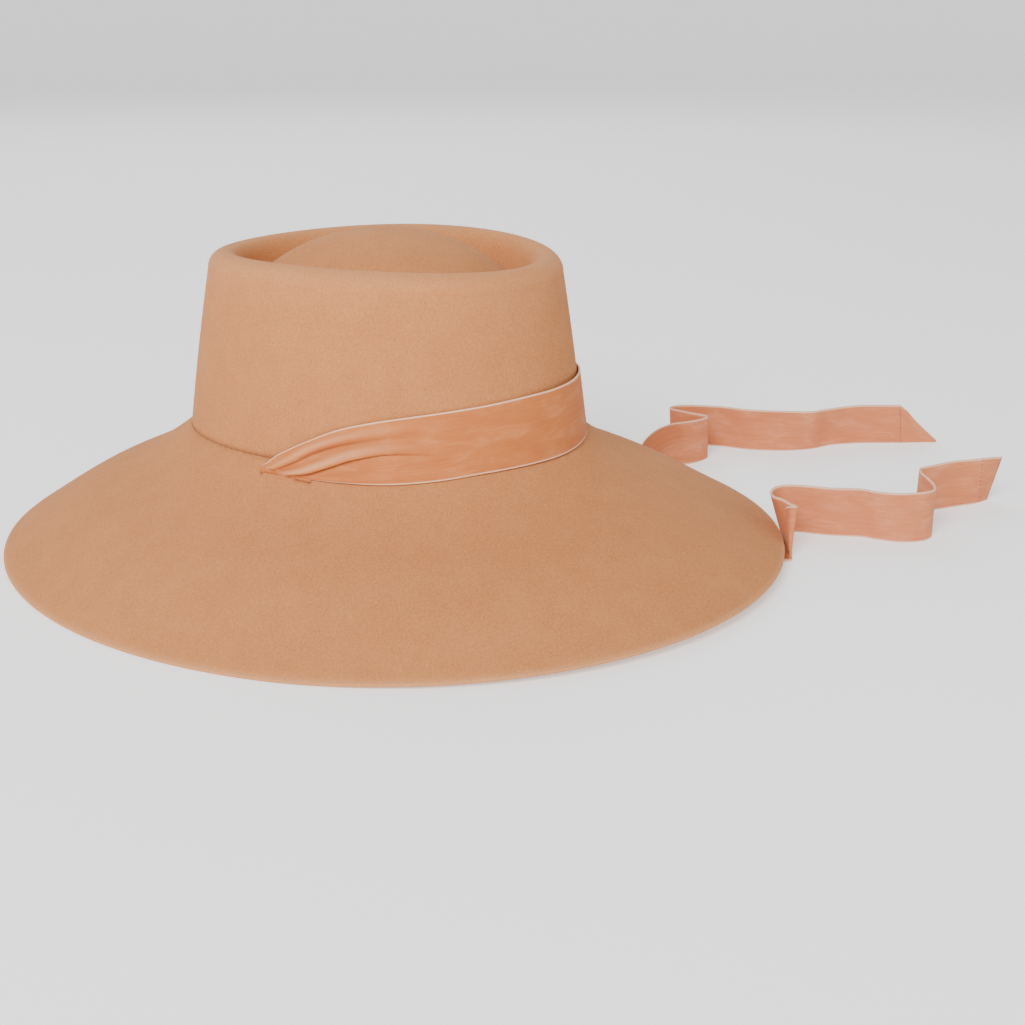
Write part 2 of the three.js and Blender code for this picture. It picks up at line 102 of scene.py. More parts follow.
class Flow:
    """A socket's value that can be used in arithmetic; each expression adds its Math node."""

    def __init__(self, graph: "Graph", socket: bpy.types.NodeSocket) -> None:
        """Wraps a socket of a graph."""
        self.graph = graph
        self.socket = socket

    def _math(self, operation: str, *values: "Flow | float") -> "Flow":
        """Adds a Math node over the values and returns its result."""
        inputs = dict(enumerate(values))
        return Flow(self.graph, self.graph.add("ShaderNodeMath", {"operation": operation}, inputs).outputs[0])

    def __add__(self, other: "Flow | float") -> "Flow":
        """Sum."""
        return self._math("ADD", self, other)

    __radd__ = __add__

    def __sub__(self, other: "Flow | float") -> "Flow":
        """Difference."""
        return self._math("SUBTRACT", self, other)

    def __rsub__(self, other: "Flow | float") -> "Flow":
        """Reflected difference, so that 1 - mask works."""
        return self._math("SUBTRACT", other, self)

    def __mul__(self, other: "Flow | float") -> "Flow":
        """Product."""
        return self._math("MULTIPLY", self, other)

    __rmul__ = __mul__

    def low(self, other: "Flow | float") -> "Flow":
        """The smaller of two values."""
        return self._math("MINIMUM", self, other)

    def sine(self) -> "Flow":
        """Sine of the value."""
        return self._math("SINE", self)

    def ramp(self, low: float, high: float) -> "Flow":
        """Eases from 0 at low to 1 at high.

        Args:
            low: Value that gives 0.
            high: Value that gives 1.

        Returns:
            The eased value.
        """
        settings = {"interpolation_type": "SMOOTHSTEP"}
        values = {"Value": self, "From Min": low, "From Max": high, "To Min": 0.0, "To Max": 1.0}
        return Flow(self.graph, self.graph.add("ShaderNodeMapRange", settings, values).outputs["Result"])


class Graph:
    """The node graph of one material."""

    def __init__(self, name: str) -> None:
        """Starts an empty material."""
        self.material = bpy.data.materials.new(name)
        self.material.use_nodes = True
        self.tree = self.material.node_tree
        self.tree.nodes.clear()

    def add(
        self, kind: str, settings: Mapping[str, object] = {}, values: Mapping[object, object] = {}
    ) -> bpy.types.Node:
        """Adds any node.

        Args:
            kind: The node's type.
            settings: Properties of the node, which are set first.
            values: Values or flows by socket name or number.

        Returns:
            The node.
        """
        node = self.tree.nodes.new(kind)
        for name, value in settings.items():
            setattr(node, name, value)
        for key, value in values.items():
            if isinstance(value, Flow):
                self.tree.links.new(value.socket, node.inputs[key])
            else:
                node.inputs[key].default_value = value
        return node

    def flow(
        self,
        kind: str,
        output: str,
        settings: Mapping[str, object] = {},
        values: Mapping[object, object] = {},
    ) -> Flow:
        """Adds a node and returns one of its outputs."""
        return Flow(self, self.add(kind, settings, values).outputs[output])

    def mix(self, first: "Flow | Colour", second: "Flow | Colour", share: "Flow | float") -> Flow:
        """Mixes two colours by a share."""
        node = self.add("ShaderNodeMix", {"data_type": "RGBA"}, {0: share, 6: first, 7: second})
        return Flow(self, node.outputs[2])

    def noise(
        self, place: Flow, scale: float, detail: float = 3.0, rough: float = 0.55, twist: float = 0.0
    ) -> Flow:
        """Noise from 0 to 1 over a place."""
        values = {"Vector": place, "Scale": scale, "Detail": detail, "Roughness": rough, "Distortion": twist}
        return self.flow("ShaderNodeTexNoise", "Fac", {}, values)

    def stretch(self, place: Flow, scale: Vector) -> Flow:
        """A place scaled along its axes."""
        return self.flow("ShaderNodeMapping", "Vector", {}, {"Vector": place, "Scale": scale})

    def bump(self, height: Flow, distance: float, strength: float) -> Flow:
        """A normal bent by a height."""
        values = {"Height": height, "Distance": distance, "Strength": strength}
        return self.flow("ShaderNodeBump", "Normal", {}, values)

    def surface(self, values: Mapping[object, object]) -> bpy.types.Material:
        """Ends the graph in one surface shader and returns the material."""
        shader = self.add("ShaderNodeBsdfPrincipled", {}, values)
        output = self.add("ShaderNodeOutputMaterial")
        self.tree.links.new(shader.outputs[0], output.inputs["Surface"])
        return self.material


# Finishes


@dataclass(frozen=True)
class FeltFinish:
    """Smooth wool felt: short matted fibres, faint mottling, paler where handling wears it and where a
    highlight is painted on the crest, the dome and the brim's edge.
    """

    name: str = "camel_wool_felt"
    deep: Colour = srgb(177, 110, 62)
    body: Colour = srgb(200, 134, 81)
    pale_wear_and_highlight: Colour = srgb(214, 159, 113)
    mottle_size: float = 14.0
    fibre_size: float = 0.8

    def make(self) -> bpy.types.Material:
        """Builds the material."""
        graph = Graph(self.name)
        place = graph.flow("ShaderNodeTexCoord", "Object")
        mottle = graph.noise(place, 1 / (self.mottle_size * MM), 4, 0.6, 0.3)
        fibre = graph.noise(place, 1 / (self.fibre_size * MM), 4, 0.7, 1.2)
        lint = graph.noise(graph.stretch(place, Vector((1, 1, 3))), 420, 2, 0.5, 2.0)
        wear_and_highlight = graph.flow("ShaderNodeAttribute", "Fac", {"attribute_name": "wear_and_highlight"})
        tone = mottle.ramp(0.3, 0.72) * 0.2 + fibre.ramp(0.34, 0.67) * 0.8
        colour = graph.mix(self.deep, self.body, tone)
        colour = graph.mix(colour, self.pale_wear_and_highlight, lint.ramp(0.62, 0.8) * 0.16)
        # pale where worn, plus a painted highlight on the crest, the dome's middle and the brim's edge
        colour = graph.mix(colour, self.pale_wear_and_highlight, wear_and_highlight * (fibre * 0.5 + 0.4))
        nap = fibre * 0.7 + lint * 0.3
        return graph.surface(
            {
                "Base Color": colour,
                "Roughness": 0.9 + fibre * 0.08,
                "Specular IOR Level": 0.15,
                "Sheen Weight": 0.06,
                "Sheen Roughness": 0.6,
                "Sheen Tint": srgb(255, 226, 198),
                "Normal": graph.bump(nap, 0.2 * MM, 0.55),
            }
        )


@dataclass(frozen=True)
class VelvetFinish:
    """Short-pile velvet ribbon with a pale woven selvedge along both edges.

    The UV map holds metres: U along the ribbon and V across it.
    """

    name: str
    width: float
    deep: Colour
    body: Colour
    # bright tone of random crushed pile, also the painted highlight on folds; the next colour is the painted
    # shade
    bright: Colour
    painted_shade: Colour = srgb(134, 70, 36)
    selvedge: Colour = srgb(242, 192, 160)
    selvedge_width: float = 0.75
    sheen: float = 0.12

    def make(self) -> bpy.types.Material:
        """Builds the material."""
        graph = Graph(self.name)
        place = graph.flow("ShaderNodeTexCoord", "UV")
        parts = graph.add("ShaderNodeSeparateXYZ", {}, {0: place})
        along, across = Flow(graph, parts.outputs[0]), Flow(graph, parts.outputs[1])
        streak = graph.noise(graph.stretch(place, Vector((40, 1500, 1))), 1, 3, 0.6)
        crush = graph.noise(graph.stretch(place, Vector((60, 150, 1))), 1, 4, 0.6, 0.4)
        pile = graph.noise(place, 2400, 2, 0.6)
        tone = streak.ramp(0.3, 0.72) * 0.3 + crush.ramp(0.3, 0.72) * 0.35 + pile * 0.35
        colour = graph.mix(self.deep, self.body, tone)
        colour = graph.mix(colour, self.bright, crush.ramp(0.5, 0.85) * 0.35)
        # painted light: painted highlight on the band's folds, painted shade in its creases and hollow; on
        # the near tie painted shade beyond the hem, on the far tie a paler hem end
        tone_and_painted_light = graph.flow("ShaderNodeAttribute", "Fac", {"attribute_name": "tone_and_painted_light"})
        colour = graph.mix(colour, self.bright, tone_and_painted_light.ramp(0.0, 1.0) * 0.8)
        colour = graph.mix(colour, self.painted_shade, (0 - tone_and_painted_light).ramp(0.0, 1.0) * 0.9)
        edge = across.low(self.width * MM - across)
        rim = 1 - edge.ramp(self.selvedge_width * 0.75 * MM, self.selvedge_width * 1.15 * MM)
        rim = rim * along.ramp(9.0 * MM, 12.0 * MM)
        ribs = (along * (math.tau / (0.9 * MM))).sine() * 0.5 + 0.5
        thread = graph.mix(self.selvedge, self.body, ribs * 0.25)
        height = (pile * 0.5 + streak * 0.5) * (1 - rim) + rim * (ribs * 0.4 + 0.8)
        return graph.surface(
            {
                "Base Color": graph.mix(colour, thread, rim),
                "Roughness": 0.78 - rim * 0.15,
                "Specular IOR Level": 0.2,
                "Sheen Weight": self.sheen,
                "Sheen Roughness": 0.4,
                "Sheen Tint": srgb(255, 214, 188),
                "Normal": graph.bump(height, 0.2 * MM, 0.6),
            }
        )


@dataclass(frozen=True)
class ThreadFinish:
    """Sewing thread with a faint twist."""

    name: str
    body: Colour
    lit: Colour

    def make(self) -> bpy.types.Material:
        """Builds the material."""
        graph = Graph(self.name)
        place = graph.flow("ShaderNodeTexCoord", "Object")
        twist = graph.noise(place, 2600, 2, 0.5)
        return graph.surface(
            {
                "Base Color": graph.mix(self.body, self.lit, twist.ramp(0.35, 0.7)),
                "Roughness": 0.75,
                "Specular IOR Level": 0.3,
                "Normal": graph.bump(twist, 0.1 * MM, 0.4),
            }
        )


@dataclass(frozen=True)
class StudioFinish:
    """Plain pale floor."""

    name: str = "pale_floor"
    body: Colour = srgb(246, 246, 246)

    def make(self) -> bpy.types.Material:
        """Builds the material."""
        graph = Graph(self.name)
        place = graph.flow("ShaderNodeTexCoord", "Object")
        grain = graph.noise(place, 3, 2)
        return graph.surface(
            {
                "Base Color": self.body,
                "Roughness": 0.92 + grain * 0.05,
                "Specular IOR Level": 0.0,
                "Emission Color": srgb(255, 255, 255),
                "Emission Strength": 0.5,
            }
        )


# Mesh helpers


class Side(Enum):
    """Side of the head that a slit is on, as the sign of its place on the X axis."""

    NEAR = -1
    FAR = 1


def show(name: str, made: bmesh.types.BMesh, finish: bpy.types.Material) -> bpy.types.Object:
    """Turns a bmesh into a smoothly shaded scene object with a material.

    Args:
        name: The piece's name.
        made: Its mesh, which is freed.
        finish: Its material.

    Returns:
        The object, at the origin.
    """
    mesh = bpy.data.meshes.new(name)
    for face in made.faces:
        face.smooth = True
    made.to_mesh(mesh)
    made.free()
    mesh.materials.append(finish)
    piece = bpy.data.objects.new(name, mesh)
    bpy.context.collection.objects.link(piece)
    log.info("%s: %d faces", name, len(mesh.polygons))
    return piece


def thicken(piece: bpy.types.Object, thickness: float, offset: float, even: bool = True) -> None:
    """Gives a surface its wall thickness.

    Args:
        piece: The surface's object.
        thickness: Thickness in millimetres.
        offset: -1 grows inwards, 0 both ways.
        even: Whether the thickness is kept at bends.
    """
    wall = piece.modifiers.new("wall", "SOLIDIFY")
    wall.thickness = thickness * MM
    wall.offset = offset
    wall.use_even_offset = even


def column(rows: Sequence[object], name: str, at: float) -> float:
    """Reads one column of a table on a smooth curve through its rows, or on straight lines for a cut.

    Args:
        rows: The table.
        name: The column's name.
        at: Share of the way from the first row to the last.

    Returns:
        The column's value there.
    """
    values = [getattr(row, name) for row in rows]
    where = at * (len(values) - 1)
    first = min(int(where + 1e-6), len(values) - 2)
    share = where - first
    a, b = values[first], values[first + 1]
    if name == "tall":
        return blend(a, b, share)
    before = values[first - 1] if first > 0 else 2 * a - b
    after = values[first + 2] if first + 2 < len(values) else 2 * b - a
    start, end = (b - before) / 2, (after - a) / 2
    cubic = 2 * a - 2 * b + start + end
    square = -3 * a + 3 * b - 2 * start - end
    return ((cubic * share + square) * share + start) * share + a


# The felt pieces


@dataclass
class Ring:
    """One oval ring of a felt piece, with how pale the felt is painted there, for wear and for a painted
    highlight.
    """

    half_length: float
    half_width: float
    height: Callable[[float], float]
    wear_and_highlight: float = 0.0
    shift: float = 0.0


@dataclass
class HatForm:
    """Sizes that the pieces share, in millimetres."""

    felt: float = 2.0
    seam_gap: float = 0.3
    head_length: float = 97.2
    head_width: float = 81.6
    head_shift: float = 1.7
    crown_height: float = 82.2
    top_length: float = 84.7
    top_width: float = 72.9
    crest_radius: float = 7.8
    groove_depth: float = 15.5
    groove_inset: float = 18.6
    dome_rise: float = 8.6
    saddle: float = 1.6
    brim_length: float = 94.1
    brim_width: float = 90.3
    brim_fall: float = 56.8
    edge_lift: float = 4.9
    lift_turn: float = 15.0
    edge_land: float = 1.7
    slit_length: float = 26.9
    slit_opening: float = 1.8
    slit_standoff: float = 4.75
    slit_setback: float = 2.43
    axis: Vector = field(default_factory=Vector)

    def part(self, point: Vector) -> Vector:
        """Turns a place in the hat's frame into metres in the part's frame."""
        return (point + self.axis) * MM

    def oval(self, half_length: float, half_width: float, turn: float, z: float) -> Vector:
        """Point of an oval at a turn in degrees from +Y towards -X."""
        angle = math.radians(turn)
        return Vector((-half_width * math.sin(angle), half_length * math.cos(angle), z))

    def seam(self, turn: float) -> float:
        """Height of the seam between crown and brim."""
        return self.brim_fall - self.saddle * math.cos(math.radians(2 * turn))

    def taper(self, up: float) -> float:
        """Share of the crown's taper reached at a share of its wall."""
        return up * (0.84 + 0.16 * up)

    def lift(self, turn: float) -> float:
        """How far the brim's edge lifts off the floor."""
        return self.edge_lift * max(0.0, -math.cos(math.radians(turn - self.lift_turn))) ** 1.2

    def brim_top(self, out: float, turn: float) -> float:
        """Height of the brim's upper face at a share of the way out."""
        fall = out + 0.033 * math.sin(math.tau * out) + 0.0106 * math.sin(1.5 * math.tau * out)
        return self.lift(turn) * out**3 + self.edge_land + (self.seam(turn) - self.edge_land) * (1 - fall)

    def wall(self, turn: float, rise: float, stand: float) -> Vector:
        """Place on the crown's wall by turn and height, moved out by a stand-off."""
        share = self.taper(min(1.0, max(0.0, rise / (self.crown_height - self.crest_radius))))
        half_length = blend(self.head_length, self.top_length, share) + stand
        half_width = blend(self.head_width, self.top_width, share) + stand
        place = self.oval(half_length, half_width, turn, self.seam(turn) + rise)
        return place + Vector((0, self.head_shift * (1 - share), 0))


class FeltShell:
    """Makes an oval felt piece ring by ring, each ring extruded from the one before."""

    def __init__(self, form: HatForm, sides: int) -> None:
        """Starts with no rings."""
        self.form = form
        self.sides = sides
        self.mesh = bmesh.new()
        self.wear_and_highlight = self.mesh.verts.layers.float.new("wear_and_highlight")
        self.edges: list[bmesh.types.BMEdge] = []
        self.first: list[bmesh.types.BMEdge] = []
        self.last: Ring | None = None

    def _place(self, verts: Sequence[bmesh.types.BMVert], old: Vector, ring: Ring) -> None:
        """Moves a ring's vertices from an old oval, given by its half sizes, to a new ring."""
        for vert in verts:
            place = vert.co / MM - self.form.axis - Vector((0, self.last.shift, 0)) if self.last else vert.co
            turn = math.degrees(math.atan2(-place.x / old.x, place.y / old.y))
            place = self.form.oval(ring.half_length, ring.half_width, turn, ring.height(turn))
            vert.co = self.form.part(place + Vector((0, ring.shift, 0)))
            vert[self.wear_and_highlight] = ring.wear_and_highlight

    def add(self, ring: Ring) -> None:
        """Adds the next ring."""
        if self.last is None:
            verts = bmesh.ops.create_circle(self.mesh, segments=self.sides, radius=1.0)["verts"]
            self._place(verts, Vector((1, 1, 0)), ring)
            self.edges = self.first = list(self.mesh.edges)
        else:
            made = bmesh.ops.extrude_edge_only(self.mesh, edges=self.edges)["geom"]
            verts = [g for g in made if isinstance(g, bmesh.types.BMVert)]
            self._place(verts, Vector((self.last.half_width, self.last.half_length, 0)), ring)
            self.edges = [g for g in made if isinstance(g, bmesh.types.BMEdge)]
        self.last = ring

    def close_on_middle(self) -> None:
        """Draws the last ring together to a pole, summing in a fixed order so that every run agrees."""
        verts = sorted({v for e in self.edges for v in e.verts}, key=lambda vert: tuple(vert.co))
        middle = sum((v.co for v in verts), Vector()) / len(verts)
        made = bmesh.ops.extrude_edge_only(self.mesh, edges=self.edges)["geom"]
        tip = [g for g in made if isinstance(g, bmesh.types.BMVert)]
        bmesh.ops.pointmerge(self.mesh, verts=tip, merge_co=middle)

    def close_on_start(self) -> None:
        """Joins the last ring to the first."""
        bmesh.ops.bridge_loops(self.mesh, edges=self.edges + self.first)

    def finish(self) -> bmesh.types.BMesh:
        """Turns the faces out and gives the mesh."""
        bmesh.ops.recalc_face_normals(self.mesh, faces=self.mesh.faces)
        return self.mesh


@dataclass
class GrooveRow:
    """A row of the crown's top between crest and dome, as shares of the groove's inset and depth."""

    inset: float
    drop: float


@dataclass
class Crown:
    """The telescoped crown: wall, rounded crest, groove and dome."""

    form: HatForm
    sides: int = 200
    wall_rows: int = 24
    crest_rows: int = 12
    groove_rows: int = 24
    dome_rows: int = 28
    dome_roundness: float = 2.4
    groove: tuple[GrooveRow, ...] = (
        GrooveRow(0.42, 0.0),
        GrooveRow(0.62, 0.07),
        GrooveRow(0.78, 0.3),
        GrooveRow(0.88, 0.65),
        GrooveRow(0.95, 0.92),
        GrooveRow(1.03, 1.0),
        GrooveRow(1.15, 0.86),
    )

    def ring(
        self,
        half_length: float,
        half_width: float,
        rise: float,
        saddle: float,
        wear_and_highlight: float,
        shift: float = 0.0,
    ) -> Ring:
        """A ring at a height above the seam, with its own share of the saddle."""
        base = self.form.brim_fall + rise

        def height(turn: float) -> float:
            """Height of the ring at a turn."""
            return base - saddle * math.cos(math.radians(2 * turn))

        return Ring(half_length, half_width, height, wear_and_highlight, shift)

    def rings(self) -> list[Ring]:
        """The crown's outer face from its foot to the middle of its top."""
        f = self.form
        top = f.crown_height - f.crest_radius
        made = []
        for i in range(self.wall_rows + 1):
            up = i / self.wall_rows
            share = f.taper(up)
            half = blend(f.head_length, f.top_length, share), blend(f.head_width, f.top_width, share)
            # wear and painted highlight: paler up the wall, palest on the crest, fading into the groove
            wear_and_highlight = 0.1 * smooth(0.8, 1.0, up)
            rise = max(top * up, f.seam_gap)
            made.append(self.ring(*half, rise, f.saddle, wear_and_highlight, f.head_shift * (1 - share)))
        for i in range(1, self.crest_rows + 1):
            angle = math.radians(90 * i / self.crest_rows)
            inset, rise = f.crest_radius * (1 - math.cos(angle)), top + f.crest_radius * math.sin(angle)
            wear_and_highlight = 0.1 + 0.35 * math.sin(angle)
            made.append(self.ring(f.top_length - inset, f.top_width - inset, rise, f.saddle, wear_and_highlight))
        for i in range(1, self.groove_rows + 1):
            along = i / self.groove_rows
            inset = f.groove_inset * column(self.groove, "inset", along)
            drop = f.groove_depth * max(0.0, column(self.groove, "drop", along))
            wear_and_highlight = 0.45 * (1 - smooth(0.0, 0.4, along))
            half = f.top_length - inset, f.top_width - inset
            made.append(self.ring(*half, f.crown_height - drop, f.saddle, wear_and_highlight))
        start, drop = made[-1], f.dome_rise + f.groove_depth * self.groove[-1].drop
        for i in range(1, self.dome_rows):
            share = 1 - i / self.dome_rows
            rise = f.crown_height + f.dome_rise - drop * share**self.dome_roundness
            half = start.half_length * share, start.half_width * share
            # the dome's middle is painted a little paler: wear and painted highlight
            made.append(self.ring(*half, rise, f.saddle * share, 0.12 * smooth(0.2, 0.7, 1 - share)))
        return made

    def build(self, finish: bpy.types.Material) -> bpy.types.Object:
        """Builds the crown's shell and gives it its wall."""
        shell = FeltShell(self.form, self.sides)
        for ring in self.rings():
            shell.add(ring)
        shell.close_on_middle()
        piece = show("crown_felt", shell.finish(), finish)
        thicken(piece, self.form.felt, -1)
        return piece


@dataclass
class Brim:
    """The wide brim with its cut edge and two ribbon slits.

    The cut edge is a list of insets in millimetres and heights as shares of the edge's land.
    """

    form: HatForm
    sides: int = 256
    rows: int = 46
    cutter_sides: int = 20
    edge: tuple[tuple[float, float], ...] = (
        (0.45, 1.0),
        (0.14, 0.92),
        (0.0, 0.7),
        (0.0, 0.35),
        (0.2, 0.1),
        (0.7, 0.0),
        (2.5, 0.0),
    )

    def ring(self, out: float, inset: float, height: Callable[[float], float], wear_and_highlight: float = 0.0) -> Ring:
        """A ring at a share of the way out, set in by a distance."""
        f = self.form
        half = f.head_length + f.brim_length * out - inset, f.head_width + f.brim_width * out - inset
        return Ring(*half, height, wear_and_highlight, f.head_shift * (1 - out))

    def top(self, out: float) -> Callable[[float], float]:
        """Height of the upper face along a ring."""
        return lambda turn: self.form.brim_top(out, turn)

    def under(self, out: float) -> Ring:
        """A ring of the underside, one felt thickness below the upper face."""
        f = self.form
        slope = (f.brim_top(out + 0.01, 90) - f.brim_top(out - 0.01, 90)) / (0.02 * f.brim_width)
        drop = f.felt / math.hypot(1, slope)
        return self.ring(out, -drop * slope, lambda turn: f.brim_top(out, turn) - drop)

    def rings(self) -> list[Ring]:
        """The brim's skin from under the crown out to the edge and back."""
        f = self.form
        made = [self.ring(0, f.felt, f.seam)]
        for i in range(self.rows):
            out = i / self.rows
            # the upper face's last stretch and the cut edge are painted paler: wear and painted highlight
            made.append(self.ring(out, 0, self.top(out), 0.2 * smooth(0.97, 1, out)))
        for inset, height in self.edge:
            made.append(self.ring(1, inset, lambda turn, h=height: f.lift(turn) + f.edge_land * h, 0.55))
        for i in range(self.rows - 3, 0, -2):
            made.append(self.under(i / self.rows * 0.975))
        made.append(self.ring(0, f.felt, lambda turn: f.seam(turn) - f.felt * 1.3))
        return made

    def cutter(self, side: Side) -> bpy.types.Object:
        """An upright slot with round ends that pierces the brim.

        Args:
            side: Which slit it cuts.

        Returns:
            The cutter's object, which is used once and removed.
        """
        f = self.form
        made = bmesh.new()
        radius = f.slit_opening / 2
        disc = bmesh.ops.create_circle(made, segments=self.cutter_sides, radius=radius, cap_ends=True)
        verts = disc["verts"]
        reach = side.value * (f.head_width + f.slit_standoff)
        middle = Vector((reach, -f.slit_setback, f.brim_fall * 0.75))
        for vert in verts:
            vert.co.y += math.copysign(f.slit_length / 2 - radius, vert.co.y)
            vert.co = f.part(vert.co + middle)
        grown = bmesh.ops.extrude_face_region(made, geom=list(made.faces))["geom"]
        up = Vector((0, 0, f.brim_fall / 2 * MM))
        bmesh.ops.translate(made, verts=[g for g in grown if isinstance(g, bmesh.types.BMVert)], vec=up)
        bmesh.ops.recalc_face_normals(made, faces=made.faces)
        return show("slit_cutter", made, bpy.data.materials.new("unused"))

    def build(self, finish: bpy.types.Material) -> bpy.types.Object:
        """Builds the brim's skin and cuts its slits."""
        shell = FeltShell(self.form, self.sides)
        for ring in self.rings():
            shell.add(ring)
        shell.close_on_start()
        piece = show("brim_felt", shell.finish(), finish)
        cutters = [self.cutter(side) for side in Side]
        for cutter in cutters:
            cut = piece.modifiers.new("slit", "BOOLEAN")
            cut.object = cutter
            cut.operation = "DIFFERENCE"
            cut.solver = "EXACT"
        graph = bpy.context.evaluated_depsgraph_get()
        whole = bpy.data.meshes.new_from_object(piece.evaluated_get(graph))
        piece.modifiers.clear()
        piece.data = whole
        piece.data.materials.clear()
        piece.data.materials.append(finish)
        for cutter in cutters:
            bpy.data.objects.remove(cutter)
        return piece


# Ribbons


@dataclass
class BandSection:
    """A section across the band. Turns are in degrees, rise is a share of the band's width, stands are
    shares of the slit's distance from the crown, and the creases' places are shares across the band."""

    upper_turn: float
    upper_rise: float
    upper_stand: float
    lower_turn: float
    lower_stand: float
    fold: float
    high_crease: float
    low_crease: float
    hollow: float


@dataclass
class TieSection:
    """A section across a tie. x and y place its floor edge as shares of the brim's half width and half
    length, drop is its height as a share of the brim's fall, the leans tip it over and tall is its share
    of the ribbon's width."""

    x: float
    y: float
    drop: float
    lean_x: float
    lean_y: float
    tall: float = 1.0


def ribbon(
    name: str,
    rows: Sequence[Sequence[Vector]],
    width: float,
    form: HatForm,
    finish: bpy.types.Material,
    mark: Callable[[int, int], float],
) -> bpy.types.Object:
    """Lays a grid over rows of points and makes it a ribbon.

    Args:
        name: The piece's name.
        rows: Sections from one end to the other, each a row of points across the ribbon.
        width: The flat ribbon's width in millimetres.
        form: The hat's shared sizes.
        finish: The ribbon's material.
        mark: Painted light at a row and a place in it: a painted highlight on the band's folds and a paler
            hem end above 0, painted shade below 0.

    Returns:
        The ribbon's surface, still without thickness.
    """
    along, across = len(rows) - 1, len(rows[0]) - 1
    middle = [row[across // 2] for row in rows]
    reach = [0.0]
    for a, b in zip(middle, middle[1:]):
        reach.append(reach[-1] + (b - a).length)
    made = bmesh.new()
    bmesh.ops.create_grid(made, x_segments=along, y_segments=across, size=0.5)
    lay = made.loops.layers.uv.new("ribbon")
    for face in made.faces:
        for loop in face.loops:
            i, j = round((loop.vert.co.x + 0.5) * along), round((loop.vert.co.y + 0.5) * across)
            loop[lay].uv = (reach[i] * MM, j / across * width * MM)
    tone_and_painted_light = made.verts.layers.float.new("tone_and_painted_light")
    for vert in made.verts:
        i, j = round((vert.co.x + 0.5) * along), round((vert.co.y + 0.5) * across)
        vert.co = form.part(rows[i][j])
        vert[tone_and_painted_light] = mark(i, j)
    piece = show(name, made, finish)
    piece["flat_length"] = reach[-1] * MM
    return piece


